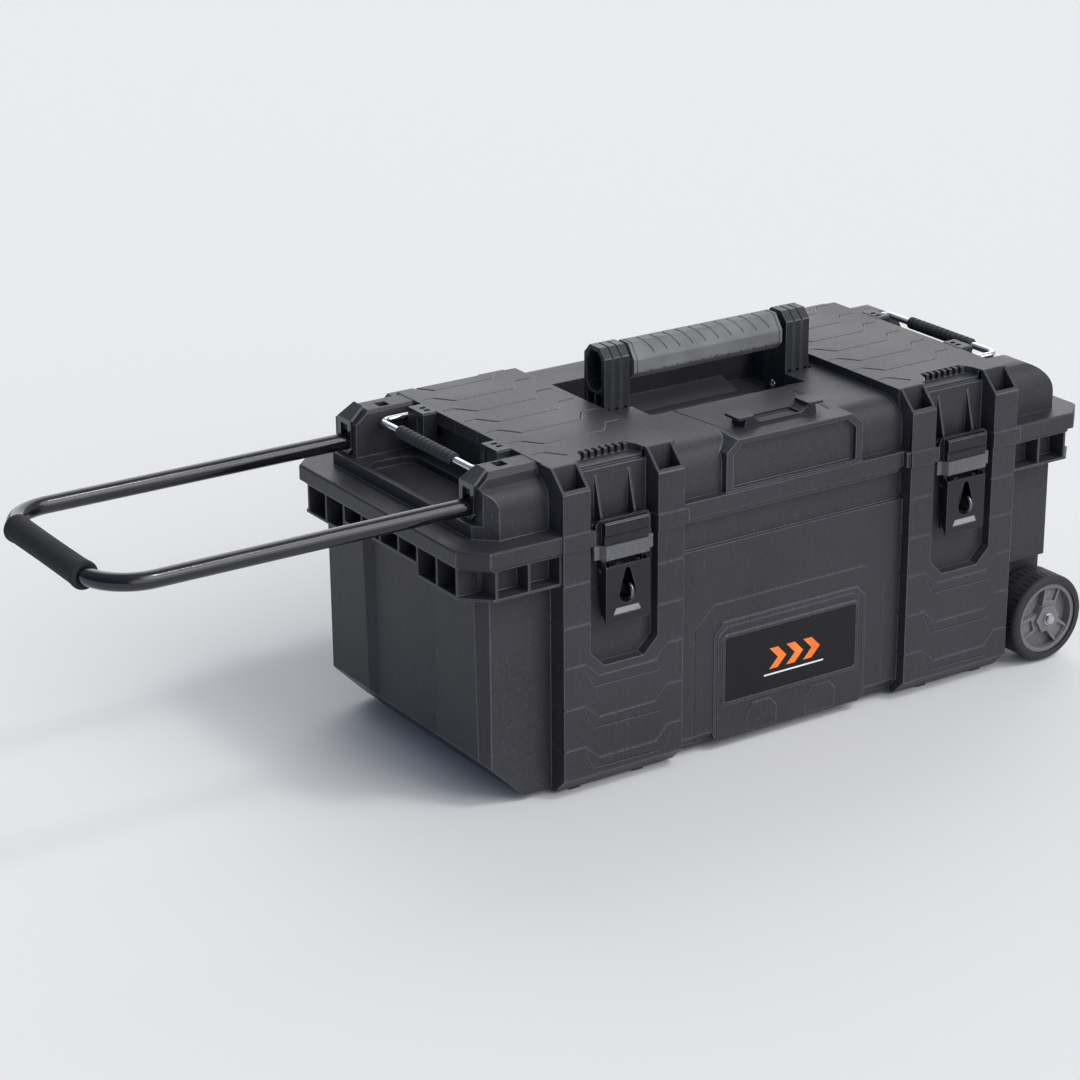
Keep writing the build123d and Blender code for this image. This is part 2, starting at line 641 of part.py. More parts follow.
def axle_nuts():
    parts = []
    for side in (-1, 1):
        outline = Pos(WHEEL_X, 0, WHEEL_Z) * (Plane.XZ * RegularPolygon(4.9, 6))
        high = max(side * 167.8, side * 171.0)
        nut = extrude(Pos(0, high, 0) * outline, 3.2)
        parts.append(nut - rod_y(side * 160, side * 175, WHEEL_X, WHEEL_Z, AXLE_END_R))
    return Compound(children=parts)


def tyre(side):
    """Tyre with a smooth rounded shoulder and two rows of fine slits across its tread."""
    low, high = sorted((side * WHEEL_IN, side * WHEEL_OUT))
    ring = rod_y(low, high, WHEEL_X, WHEEL_Z, WHEEL_R)
    ring = fillet(ring.edges(), 4.5)
    ring -= rod_y(low - 1, high + 1, WHEEL_X, WHEEL_Z, 36)
    slits = block(-0.55, 0.55, low + 5, low + 15, WHEEL_R - 1.2, WHEEL_R + 2)
    slits += Rot(0, 4, 0) * block(-0.55, 0.55, high - 15, high - 5, WHEEL_R - 1.2, WHEEL_R + 2)
    for i in range(TREAD_SLITS):
        ring -= Pos(WHEEL_X, 0, WHEEL_Z) * Rot(0, i * 360 / TREAD_SLITS, 0) * slits
    return ring


def hub(side):
    """Hub with three pocketed spokes and a hexagonal boss."""
    low, high = sorted((side * (WHEEL_IN + 1.5), side * (WHEEL_OUT - 2.0)))
    disc = rod_y(low, high, WHEEL_X, WHEEL_Z, 36)
    face = side * (WHEEL_OUT - 2.0)
    well_floor = side * (WHEEL_OUT - 11.0)
    disc -= rod_y(well_floor, face + side, WHEEL_X, WHEEL_Z, 31.5)
    back = side * (WHEEL_IN + 1.5)
    inner = rod_y(back - side, back + side * 18, WHEEL_X, WHEEL_Z, 31.5)
    disc -= inner - rod_y(back - side * 2, back + side * 20, WHEEL_X, WHEEL_Z, 9)
    place = Pos(WHEEL_X, 0, WHEEL_Z)
    spoke_low, spoke_high = sorted((well_floor - side, face - side * 1.5))
    for i in range(3):
        arm = prism_xz([(-8.5, 9), (-10.5, 33), (10.5, 33), (8.5, 9)], spoke_low, spoke_high)
        turned = place * Rot(0, i * 120 + 15, 0)
        disc += turned * arm
        p0, p1 = sorted((face - side * 4.5, face + side))
        pocket = prism_xz([(-6.0, 18), (-7.8, 30), (7.8, 30), (6.0, 18)], p0, p1)
        disc -= turned * pocket
    boss = Plane.XZ * RegularPolygon(15, 6)
    boss_high = max(side * 150.0, side * WHEEL_OUT)
    disc += place * extrude(Pos(0, boss_high, 0) * boss, 16.5)
    disc -= rod_y(low - 3, high + 5, WHEEL_X, WHEEL_Z, AXLE_R + RUN_GAP)
    return disc


# ---- latches -----------------------------------------------------------------------------
def latch_base(mid):
    """Steel base of a latch, screwed into the bay, with two ears for the lever."""
    base = block(mid - 18, mid + 18, -151.5, -150, 166, 232)
    for side in (-1, 1):
        x0, x1 = sorted((mid + side * 16, mid + side * 17.5))
        ear = soft_prism_yz([(-159.6, 219), (-159.6, 229), (-150, 232), (-150, 214)], [3, 3, 0, 0], x0, x1)
        base += ear
    base -= rod_x(mid - 20, mid + 20, LEVER_Y, LEVER_Z, PIN_R)
    for x in (-14, 14):
        base -= rod_y(-153, -149, mid + x, 172, 1.6)
        base -= rod_y(-153, -149, mid + x, 206, 1.6)
    return base


def latch_screws():
    """Screws of both latch bases."""
    parts = []
    for mid in (-BAY_MID, BAY_MID):
        for x in (-14, 14):
            for z in (172, 206):
                parts.append(rod_y(-151.5, -150, mid + x, z, 1.6) + rod_y(-152.6, -151.5, mid + x, z, 2.9))
    return Compound(children=parts)


def padlock_eye(mid):
    """Chrome staple that stands through the hole of the lever."""
    path = FilletPolyline((-151.5, 199), (-173, 199), (-173, 186), (-151.5, 186), radius=6)
    line = Pos(mid, 0, 0) * (Plane.YZ * path)
    start = Plane(origin=(mid, -151.5, 199), z_dir=(0, -1, 0))
    return sweep(start * Circle(1.9), path=line)


def lever_pins(mid):
    """Two stub pins on which the lever turns."""
    parts = [rod_x(mid + side * 15.6, mid + side * 21.6, LEVER_Y, LEVER_Z, PIN_R) for side in (-1, 1)]
    return Compound(children=parts)


def lever(mid):
    """Latch lever: a black cover with a teardrop hole and a chrome-backed slot."""
    face = block(mid - 23.4, mid + 23.4, -166, -164, 163.6, LEVER_TOP)
    side_view = [(-166, LEVER_TOP), (-159, 221.5), (-159.8, 224), (-158.8, 227), (-156, 228), (-153.2, 227),
                 (-152.3, 224), (-153.4, 216), (-153.0, 196), (-159, 172), (-166, 163.6)]
    for side in (-1, 1):
        x0, x1 = sorted((mid + side * 21.9, mid + side * 23.4))
        face += prism_yz(side_view, x0, x1)
        lug = [(-159.8, 224), (-158.8, 227), (-156, 228), (-153.2, 227), (-152.3, 224), (-153.4, 216),
               (-160, 216)]
        x2, x3 = sorted((mid + side * 19.2, mid + side * 22.5))
        face += prism_yz(lug, x2, x3)
    hole = [(mid + 9 * math.cos(math.radians(a)), 190 + 9 * math.sin(math.radians(a)))
            for a in range(-200, 21, 20)]
    hole += [(mid + 3, 213), (mid + 1.2, 214.5), (mid - 1.2, 214.5), (mid - 3, 213)]
    face -= prism_xz(hole, -170, -160)
    face -= prism_xz([(mid - 15.5, 171), (mid - 12.5, 177.5), (mid + 12.5, 177.5), (mid + 15.5, 171)],
                     -170, -165)
    face -= rod_x(mid - 25, mid + 25, LEVER_Y, LEVER_Z, PIN_R + RUN_GAP)
    face -= rod_x(mid - 25, mid + 25, LINK_Y, LINK_Z, PIN_R)
    return face


def link_pin(mid):
    return rod_x(mid - 23.0, mid + 23.0, LINK_Y, LINK_Z, PIN_R)


def claw(mid):
    """Claw of a latch: tongue with a rolled eye, wide plate and the thick top block."""
    tongue = block(mid - 14, mid + 14, -157.6, -155.4, LINK_Z, 240)
    eye = rod_x(mid - 14, mid + 14, LINK_Y, LINK_Z, 3.2)
    plate = soft_prism_xz([(mid - 29.7, 236), (mid - 29.7, 261), (mid + 29.7, 261), (mid + 29.7, 236)],
                          [0, 6, 6, 0], -158.6, -155.4)
    lip = block(mid - 23, mid + 23, -156, -154, 257.2, 260.5)
    top = block(mid - 23.6, mid + 23.6, -165.5, -157.6, 246.5, 259.6)
    top = chamfer(top.edges().filter_by(Axis.X).group_by(Axis.Y)[0], 1.6)
    low = block(mid - 23.6, mid + 23.6, -164.5, -157.6, 239.2, 245.2)
    waist = block(mid - 22.6, mid + 22.6, -163, -157.6, 238.2, 259)
    body = tongue + eye + plate + lip + top + low + waist
    return body - rod_x(mid - 20, mid + 20, LINK_Y, LINK_Z, PIN_R + RUN_GAP)


def claw_band(mid):
    """Grey band across the claw."""
    front = [(mid - 31.8, -159.6), (mid - 26.5, -159.6), (mid - 23.5, -166), (mid + 23.5, -166),
             (mid + 26.5, -159.6), (mid + 31.8, -159.6)]
    lower = front + [(mid + 31.8, -155.4), (mid + 25, -155.4), (mid + 25, -160.6), (mid + 14.4, -160.6),
                     (mid + 14.4, -157.6), (mid - 14.4, -157.6), (mid - 14.4, -160.6), (mid - 25, -160.6),
                     (mid - 25, -155.4), (mid - 31.8, -155.4)]
    upper = front + [(mid + 31.8, -158.6), (mid - 31.8, -158.6)]
    return prism_xy(lower, 224.6, 235.9) + prism_xy(upper, 235.9, 238.1)


# ---- handles -----------------------------------------------------------------------------
def bent_rod(radius):
    """Round section along the U of the pull handle."""
    path = FilletPolyline((TUBE_END, -TUBE_Y, TUBE_Z), (GRIP_X, -TUBE_Y, TUBE_Z), (GRIP_X, TUBE_Y, TUBE_Z),
                          (TUBE_END, TUBE_Y, TUBE_Z), radius=BEND_R)
    start = Plane(origin=(TUBE_END, -TUBE_Y, TUBE_Z), z_dir=(-1, 0, 0))
    return sweep(start * Circle(radius), path=path)


def pull_tube():
    """Bent steel tube of the pull handle."""
    return bent_rod(TUBE_R) - bent_rod(TUBE_R - TUBE_WALL)


def pull_grip():
    """Foam sleeve on the cross bar."""
    sleeve = rod_y(-68, 68, GRIP_X, TUBE_Z, 13)
    sleeve = fillet(sleeve.edges(), 3)
    return sleeve - bent_rod(TUBE_R + RUN_GAP)


def tube_stop(y):
    """Plug in the inner end of a tube that stops it from pulling out of its guide."""
    plug = rod_x(TUBE_END - 14, TUBE_END, y, TUBE_Z, TUBE_R - TUBE_WALL)
    return plug + rod_x(TUBE_END, TUBE_END + 5, y, TUBE_Z, 9.5)


def post_profile(inset):
    """Side view of a carry handle post with its round foot."""
    half = 17 - inset
    outline = [(-half, HANDLE_Z), (-half, 354 - inset / 2), (-8 + inset / 2, HANDLE_TOP - inset),
               (8 - inset / 2, HANDLE_TOP - inset), (half, 354 - inset / 2), (half, HANDLE_Z)]
    return make_face(Polyline(*outline, close=True)) + Pos(0, HANDLE_Z) * Circle(half)


def post_slice(inset, x0, x1):
    return extrude(Pos(x0, 0, 0) * (Plane.YZ * post_profile(inset)), x1 - x0)


def handle_post(side):
    """Ribbed post of the carry handle."""
    x0, x1 = sorted((side * POST_IN, side * POST_OUT))
    post = post_slice(0, x0, x1)
    for offset in (9.3, 18.6):
        x = side * (POST_IN + offset)
        post -= post_slice(-2, x - 0.8, x + 0.8) - post_slice(1.2, x - 0.9, x + 0.9)
    face = side * POST_OUT
    low, high = sorted((face - side * 16, face + side))
    pocket = [(-12, 326), (-12, 351), (-6, 358.5), (6, 358.5), (12, 351), (12, 326), (6, 320), (-6, 320)]
    post -= prism_yz(pocket, low, high)
    for y in (-12, 1):
        post -= block(low, high, y, y + 11, 304, 318)
    for x in (2.2, 12.2, 21.5):
        low, high = sorted((side * (POST_IN + x), side * (POST_IN + x + 4.6)))
        post -= block(low, high, -19, -13.8, 299, 306)
    post -= rod_x(side * 90, side * 121, 0, HANDLE_Z, 3.0 + RUN_GAP)
    return post


def handle_core():
    """Stiff bar inside the grip, let into both posts."""
    return block(-POST_IN - 6, POST_IN + 6, -9, 9, GRIP_Z - 9, GRIP_Z + 9)


def grip_section(inset):
    """Section of the carry grip, seen along X."""
    wide, slant = 17.5 - inset, 7.0 - 0.4 * inset
    return [(-wide, 335), (-wide, 347.5 - 0.5 * inset), (-slant, 362.5 - inset), (slant, 362.5 - inset),
            (wide, 347.5 - 0.5 * inset), (wide, 335), (10, 328 + inset), (-10, 328 + inset)]


def handle_grip():
    """Soft grey grip with curved lines over its top and a collar at each end."""
    grip = soft_prism_yz(grip_section(0), [3, 2, 3, 3, 2, 3, 3, 3], -87, 87)
    for x in (-83.2, 83.2):
        grip -= prism_yz(grip_section(-2), x - 0.5, x + 0.5) - prism_yz(grip_section(0.7), x - 0.6, x + 0.6)
    grip -= block(-90, 90, -9, 9, GRIP_Z - 9, GRIP_Z + 9)
    skin = prism_yz(grip_section(-2), -86, 86) - prism_yz(grip_section(1.1), -86, 86)
    for i in range(10):
        x = -70 + i * 15
        half = [(x, 3), (x + 1, 7.5), (x + 6, 11.5), (x + 8, 14)]
        curve = [(a, -b) for a, b in reversed(half)] + half
        grip -= prism_xy(ribbon(curve, 1.2), 350, 366) & skin
        for front in (-1, 1):
            y0, y1 = sorted((front * 19, front * 15.2))
            grip -= prism_xz(ribbon([(x + 3, 336), (x - 1, 327)], 1.2), y0, y1)
    return grip


def bail_rod(side):
    """Chrome wire bail; both ends turn inwards into the brackets."""
    x_in, x_out = side * BAIL_PIVOT_X, side * BAIL_ROD_X
    plan = [(x_in, -59), (x_in, -BAIL_LEG_Y), (x_out, -BAIL_LEG_Y), (x_out, BAIL_LEG_Y), (x_in, BAIL_LEG_Y),
            (x_in, 59)]
    points = [(x, y, BAIL_PIVOT_Z) for x, y in plan]
    path = FilletPolyline(*points, radius=[4.2, 9, 9, 4.2])
    start = Plane(origin=points[0], z_dir=(0, -1, 0))
    return sweep(start * Circle(BAIL_R), path=path)


def bail_grip(side):
    """Ribbed grip on the bail."""
    x = side * BAIL_ROD_X
    sleeve = rod_y(-46, 46, x, BAIL_PIVOT_Z, 6.2)
    for i in range(12):
        y = -40 + i * 80 / 11
        ring = rod_y(y - 1.2, y + 1.2, x, BAIL_PIVOT_Z, 7.5) - rod_y(y - 1.2, y + 1.2, x, BAIL_PIVOT_Z, 5.3)
        sleeve -= ring & block(x - 10, x + 10, y - 2, y + 2, BAIL_PIVOT_Z, BAIL_PIVOT_Z + 10)
    return sleeve - rod_y(-50, 50, x, BAIL_PIVOT_Z, BAIL_R + 0.03)


# ---- all nodes ---------------------------------------------------------------------------
def make_nodes():
    nodes = {
        "tub_shell": tub_shell(),
        "name_plate": name_plate(),
        "wheel_axle": wheel_axle(),
        "axle_washers": axle_washers(),
        "axle_nuts": axle_nuts(),
        "latch_screws": latch_screws(),
        "lid_shell": lid_shell(),
        "lid_seal": seal_ring(),
        "tape_cleat": tape_cleat(),
        "pull_tube": pull_tube(),
        "pull_grip": pull_grip(),
        "handle_core": handle_core(),
        "handle_grip": handle_grip(),
    }
    for name, side in (("front", -1), ("rear", 1)):
        nodes[name + "_tyre"] = tyre(side)
        nodes[name + "_hub"] = hub(side)
        nodes[name + "_tube_cap"] = tube_cap(side * TUBE_Y)
        nodes[name + "_tube_guide"] = tube_guide(side * TUBE_Y)
        nodes[name + "_tube_stop"] = tube_stop(side * TUBE_Y)
    for name, side in (("left", -1), ("right", 1)):
        mid = side * BAY_MID
        nodes[name + "_latch_base"] = latch_base(mid)
        nodes[name + "_padlock_eye"] = padlock_eye(mid)
        nodes[name + "_lever_pins"] = lever_pins(mid)
        nodes[name + "_lever"] = lever(mid)
        nodes[name + "_link_pin"] = link_pin(mid)
        nodes[name + "_claw"] = claw(mid)
        nodes[name + "_claw_band"] = claw_band(mid)
        nodes[name + "_latch_keeper"] = latch_keeper(mid)
        nodes[name + "_handle_pin"] = handle_pin(side)
        nodes[name + "_handle_post"] = handle_post(side)
        nodes[name + "_bail_rod"] = bail_rod(side)
        nodes[name + "_bail_grip"] = bail_grip(side)
        nodes[name + "_hinge_pin"] = hinge_rod(side, HINGE_PIN_R)
        for place, front in (("front", -1), ("rear", 1)):
            nodes[name + "_bail_bracket_" + place] = bail_bracket(side, front)
    for name in ("left", "right"):
        nodes[name + "_handle_post"] -= handle_core()
    return nodes


os.makedirs("parts", exist_ok=True)
for node, shape in make_nodes().items():
    export_step(shape, "parts/" + node + ".step")
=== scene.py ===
import math

import bpy
from mathutils import Matrix, Vector


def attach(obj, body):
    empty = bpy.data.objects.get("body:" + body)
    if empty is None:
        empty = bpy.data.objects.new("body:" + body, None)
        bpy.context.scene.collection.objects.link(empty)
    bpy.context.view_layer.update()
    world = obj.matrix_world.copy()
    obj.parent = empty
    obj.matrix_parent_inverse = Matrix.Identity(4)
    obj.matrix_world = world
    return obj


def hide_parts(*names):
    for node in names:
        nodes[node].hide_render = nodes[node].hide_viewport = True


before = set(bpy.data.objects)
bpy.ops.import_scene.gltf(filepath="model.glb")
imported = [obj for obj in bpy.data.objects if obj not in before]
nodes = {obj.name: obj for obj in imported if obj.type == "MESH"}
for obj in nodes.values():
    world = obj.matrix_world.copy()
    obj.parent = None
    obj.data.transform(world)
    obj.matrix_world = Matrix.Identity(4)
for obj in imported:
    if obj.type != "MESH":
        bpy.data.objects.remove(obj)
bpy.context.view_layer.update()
scene = bpy.context.scene


# ---- materials ---------------------------------------------------------------------------
class Tree:
    """A new material and short calls that add nodes to it."""

    def __init__(self, name, colour, roughness, metallic=0.0):
        self.material = bpy.data.materials.new(name)
        self.material.use_nodes = True
        self.tree = self.material.node_tree
        self.shader = self.tree.nodes["Principled BSDF"]
        self.shader.inputs["Base Color"].default_value = (*colour, 1)
        self.shader.inputs["Roughness"].default_value = roughness
        self.shader.inputs["Metallic"].default_value = metallic
        self.place = self.tree.nodes.new("ShaderNodeTexCoord").outputs["Object"]

    def link(self, a, b):
        self.tree.links.new(a, b)

    def noise(self, scale, detail=3.0, stretch=(1, 1, 1), distortion=0.0, lean=0.0):
        """Noise stretched along the axes, after the pattern has been leant over in the XZ plane."""
        mapping = self.tree.nodes.new("ShaderNodeMapping")
        mapping.inputs["Scale"].default_value = stretch
        mapping.inputs["Rotation"].default_value = (0, lean, 0)
        self.link(self.place, mapping.inputs["Vector"])
        node = self.tree.nodes.new("ShaderNodeTexNoise")
        node.inputs["Scale"].default_value = scale
        node.inputs["Detail"].default_value = detail
        node.inputs["Distortion"].default_value = distortion
        self.link(mapping.outputs["Vector"], node.inputs["Vector"])
        return node.outputs["Fac"]

    def span(self, value, low, high, out_low, out_high):
        """Maps value from low..high to out_low..out_high, clamped."""
        node = self.tree.nodes.new("ShaderNodeMapRange")
        sockets = ("From Min", "From Max", "To Min", "To Max")
        for socket, number in zip(sockets, (low, high, out_low, out_high)):
            node.inputs[socket].default_value = number
        self.link(value, node.inputs["Value"])
        return node.outputs["Result"]

    def add(self, a, b):
        node = self.tree.nodes.new("ShaderNodeMath")
        node.operation = "ADD"
        self.link(a, node.inputs[0])
        self.link(b, node.inputs[1])
        return node.outputs[0]

    def blend(self, factor, dark, light):
        """Colour between dark and light; either may be a socket."""
        node = self.tree.nodes.new("ShaderNodeMix")
        node.data_type = "RGBA"
        self.link(factor, node.inputs["Factor"])
        for socket, colour in ((node.inputs[6], dark), (node.inputs[7], light)):
            if isinstance(colour, tuple):
                socket.default_value = (*colour, 1)
            else:
                self.link(colour, socket)
        return node.outputs[2]

    def bump(self, height, distance, strength=1.0):
        node = self.tree.nodes.new("ShaderNodeBump")
        node.inputs["Distance"].default_value = distance
        node.inputs["Strength"].default_value = strength
        self.link(height, node.inputs["Height"])
        self.link(node.outputs["Normal"], self.shader.inputs["Normal"])

    def set(self, **sockets):
        for name, value in sockets.items():
            self.shader.inputs[name.replace("_", " ")].default_value = value
        return self


def tinted(colour, factor):
    return tuple(min(1.0, c * factor) for c in colour)


def moulded(name, colour, roughness, marks=0.5, grain=1500.0, depth=0.00012, specular=0.24):
    """Grained moulded plastic with crossing scuffs that run up the walls, blotches and specks of dust."""
    t = Tree(name, colour, roughness)
    cloud = t.noise(7.0, 4.0)
    scuff = t.add(t.noise(520.0, stretch=(1, 1, 0.14), distortion=0.4, lean=0.3),
                  t.noise(430.0, stretch=(1, 1, 0.11), distortion=0.4, lean=-0.16))
    fine = t.noise(grain, 2.0)
    speck = t.noise(560.0)
    base = t.blend(t.span(cloud, 0.35, 0.7, 0, 1), tinted(colour, 0.88), tinted(colour, 1.1))
    marked = t.blend(t.span(scuff, 1.08, 1.4, 0, marks), base, tinted(colour, 2.0))
    dusty = t.blend(t.span(speck, 0.61, 0.71, 0, 0.6), marked, tinted(colour, 2.4))
    t.link(dusty, t.shader.inputs["Base Color"])
    rough = t.add(t.span(scuff, 0.8, 1.3, -0.05, 0.06),
                  t.span(cloud, 0.3, 0.7, roughness - 0.05, roughness + 0.05))
    t.link(rough, t.shader.inputs["Roughness"])
    t.bump(t.add(fine, t.span(scuff, 0.8, 1.3, 0, 0.5)), depth)
    return t.set(Specular_IOR_Level=specular).material


def glossy(name, colour, roughness=0.2, coat=0.3, specular=0.5):
    """Shiny plastic or powder coat with faint orange peel and handling marks."""
    t = Tree(name, colour, roughness)
    peel = t.noise(260.0, 2.0)
    smear = t.noise(30.0, 5.0, stretch=(1, 1, 0.4), distortion=0.6)
    t.link(t.blend(t.span(smear, 0.4, 0.75, 0, 0.6), colour, tinted(colour, 1.8)),
           t.shader.inputs["Base Color"])
    t.link(t.span(smear, 0.35, 0.75, roughness - 0.05, roughness + 0.14), t.shader.inputs["Roughness"])
    t.bump(peel, 0.00008)
    return t.set(Coat_Weight=coat, Coat_Roughness=0.12, Specular_IOR_Level=specular).material


def metal(name, colour, roughness, scratch=(1, 1, 1)):
    """Bare or plated metal with fine scratches and dull patches."""
    t = Tree(name, colour, roughness, 1.0)
    lines = t.noise(700.0, stretch=scratch)
    dull = t.noise(45.0, 5.0)
    t.link(t.blend(t.span(dull, 0.45, 0.75, 0, 1), colour, tinted(colour, 0.7)),
           t.shader.inputs["Base Color"])
    rough = t.add(t.span(dull, 0.4, 0.7, roughness - 0.03, roughness + 0.12),
                  t.span(lines, 0.4, 0.7, 0, 0.06))
    t.link(rough, t.shader.inputs["Roughness"])
    t.bump(lines, 0.00003)
    return t.material


def rubbery(name, colour, roughness, grain, depth, dust=0.25):
    """Rubber or foam: matte, pored, with dust in the pores."""
    t = Tree(name, colour, roughness)
    pores = t.noise(grain)
    patch = t.noise(35.0, 5.0)
    base = t.blend(t.span(patch, 0.35, 0.7, 0, 1), tinted(colour, 0.85), tinted(colour, 1.2))
    t.link(t.blend(t.span(pores, 0.55, 0.75, 0, dust), base, tinted(colour, 1.9)),
           t.shader.inputs["Base Color"])
    t.link(t.span(patch, 0.3, 0.7, roughness - 0.06, roughness + 0.06), t.shader.inputs["Roughness"])
    t.bump(pores, depth)
    return t.set(Specular_IOR_Level=0.35).material


CHARCOAL = (0.034, 0.0335, 0.039)
FINE = 0.00004          # bump of the smoother moulded faces, metres

body_plastic = moulded("body_plastic", CHARCOAL, 0.42, marks=0.35)
# The three edge materials below are lighter than the faces they border and go on the bevel faces: painted
# highlights along the rounded edges, on the shells and cleat partly also wear.
edge_wear_and_highlight_plastic = moulded("edge_wear_and_highlight_plastic", (0.066, 0.067, 0.078), 0.3, marks=0.2, depth=FINE, specular=0.45)
edge_highlight_gloss = glossy("edge_highlight_gloss", (0.11, 0.11, 0.12), 0.16, coat=0.4)
edge_highlight_post = moulded("edge_highlight_post", (0.085, 0.087, 0.095), 0.28, marks=0.2, grain=1800.0, depth=FINE,
                    specular=0.45)
cleat_plastic = moulded("cleat_plastic", tinted(CHARCOAL, 0.85), 0.42, marks=0.3)
bush_plastic = moulded("bush_plastic", (0.02, 0.02, 0.022), 0.5, marks=0.2)
post_plastic = moulded("post_plastic", (0.022, 0.023, 0.027), 0.36, marks=0.25, grain=1800.0)
band_plastic = moulded("band_plastic", (0.105, 0.105, 0.112), 0.45, marks=0.3)
hub_plastic = moulded("hub_plastic", (0.148, 0.147, 0.155), 0.45, marks=0.2)
plate_print = moulded("plate_print", (0.011, 0.011, 0.012), 0.4, marks=0.1, grain=2500.0, depth=FINE,
                      specular=0.18)
gloss_black = glossy("gloss_black", (0.012, 0.012, 0.014))
tube_paint = glossy("tube_paint", (0.006, 0.006, 0.008), 0.14, coat=0.2)
latch_black = glossy("latch_black", (0.009, 0.009, 0.012), 0.16, coat=0.1, specular=0.3)
chrome = metal("chrome", (0.72, 0.73, 0.75), 0.12)
dark_chrome = metal("dark_chrome", (0.17, 0.18, 0.20), 0.16)
slot_metal = metal("slot_metal", (0.42, 0.42, 0.44), 0.3)
dark_steel = metal("dark_steel", (0.05, 0.05, 0.055), 0.4)
zinc = metal("zinc", (0.50, 0.50, 0.51), 0.32, scratch=(1, 0.05, 1))
tyre_rubber = rubbery("tyre_rubber", (0.024, 0.024, 0.029), 0.66, grain=600.0, depth=0.00025)
foam = rubbery("foam", (0.018, 0.018, 0.020), 0.85, grain=900.0, depth=0.0004)
grip_rubber = rubbery("grip_rubber", (0.155, 0.155, 0.16), 0.6, grain=1100.0, depth=0.00018, dust=0.2)
bail_rubber = rubbery("bail_rubber", (0.035, 0.035, 0.040), 0.62, grain=1000.0, depth=0.0002)
seal_rubber = rubbery("seal_rubber", (0.012, 0.012, 0.012), 0.8, grain=800.0, depth=0.0002)
orange_print = glossy("orange_print", (0.86, 0.17, 0.015), 0.35, coat=0.1)
pale_print = glossy("pale_print", (0.75, 0.75, 0.74), 0.35, coat=0.1)


# ---- CAD nodes that stay -----------------------------------------------------------------
WELD_GAP = 2e-5         # metres
SHARP = math.radians(32.0)

# Radii of the rounded edges, metres.
SHELL_EDGE = 0.0007
HUB_EDGE = 0.0006
FRAME_EDGE = 0.0005
SOFT_EDGE = 0.0004
SMALL_EDGE = 0.0003
PIN_EDGE = 0.0002
LATCH_EDGE = 0.00015


def dress(names, material, bevel=0.0, highlight_paint=None):
    """Gives CAD nodes their material and, where asked, rounds their edges; a second, lighter material on
    the rounded faces, when given, is a painted highlight (on the shells and cleat partly wear too).
    """
    for name in names:
        obj = nodes[name]
        obj.data.materials.clear()
        obj.data.materials.append(material)
        if not bevel:
            continue
        weld = obj.modifiers.new("weld", "WELD")
        weld.merge_threshold = WELD_GAP
        round_off = obj.modifiers.new("round", "BEVEL")
        round_off.width = bevel
        round_off.segments = 2
        round_off.limit_method = "ANGLE"
        round_off.angle_limit = SHARP
        round_off.use_clamp_overlap = False
        # The rounded faces take the lighter edge material: a painted highlight along the edges.
        if highlight_paint:
            obj.data.materials.append(highlight_paint)
            round_off.material = 1
        round_off.harden_normals = True
        normals = obj.modifiers.new("normals", "WEIGHTED_NORMAL")
        normals.keep_sharp = True


def sides(*names):
    return [side + "_" + name for name in names for side in ("left", "right")]


def ends(*names):
    return [end + "_" + name for name in names for end in ("front", "rear")]


dress(["tub_shell", "lid_shell"], body_plastic, SHELL_EDGE, edge_wear_and_highlight_plastic)
dress(["tape_cleat"], cleat_plastic, FRAME_EDGE, edge_wear_and_highlight_plastic)
dress(["name_plate"], plate_print, SMALL_EDGE)
dress(["wheel_axle", "axle_washers", "axle_nuts"], zinc, SMALL_EDGE)
dress(sides("link_pin", "hinge_pin"), zinc, PIN_EDGE)
dress(["latch_screws"] + sides("latch_base"), dark_steel, PIN_EDGE)
dress(sides("lever_pins"), dark_steel)
dress(sides("padlock_eye"), dark_chrome)
dress(sides("bail_rod"), chrome)
dress(sides("handle_pin"), chrome, SMALL_EDGE)
dress(ends("tyre"), tyre_rubber, SOFT_EDGE)
dress(ends("hub"), hub_plastic, HUB_EDGE)
dress(ends("tube_cap"), gloss_black, SOFT_EDGE, edge_highlight_gloss)
dress(sides("lever", "claw"), latch_black, LATCH_EDGE, edge_highlight_gloss)
dress(sides("claw_band"), band_plastic, SOFT_EDGE)
dress(ends("tube_guide", "tube_stop") + ["handle_core"] + sides("latch_keeper"), bush_plastic, SMALL_EDGE)
dress(["pull_tube"], tube_paint)
dress(["pull_grip"], foam)
dress(["handle_grip"], grip_rubber, FRAME_EDGE)
dress(sides("handle_post"), post_plastic, FRAME_EDGE, edge_highlight_post)
dress(sides("bail_bracket_front", "bail_bracket_rear"), post_plastic, FRAME_EDGE, edge_highlight_post)
dress(sides("bail_grip"), bail_rubber, SMALL_EDGE)
dress(["lid_seal"], seal_rubber)


# ---- pieces made here --------------------------------------------------------------------
def mesh_piece(name, verts, faces, material, body):
    mesh = bpy.data.meshes.new(name)
    mesh.from_pydata(verts, [], faces)
    mesh.materials.append(material)
    piece = bpy.data.objects.new(name, mesh)
    scene.collection.objects.link(piece)
    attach(piece, body)
    return piece


def inlay(name, outlines, front, back, material, body):
    """Thin plates with the given outlines in the XZ plane (millimetres), between two Y values."""
    verts, faces = [], []
    for outline in outlines:
        first, count = len(verts), len(outline)
        verts += [(x / 1000, front / 1000, z / 1000) for x, z in outline]
        verts += [(x / 1000, back / 1000, z / 1000) for x, z in outline]
        faces.append(list(range(first, first + count)))
        faces.append(list(range(first + 2 * count - 1, first + count - 1, -1)))
        for i in range(count):
            j = (i + 1) % count
            faces.append([first + j, first + i, first + count + i, first + count + j])
    return mesh_piece(name, verts, faces, material, body)


def chevron(x, z, width, height, arm):
    """Outline of one arrow head that points along +X."""
    return [(x, z), (x + arm, z), (x + width, z + height / 2), (x + arm, z + height), (x, z + height),
            (x + width - arm, z + height / 2)]


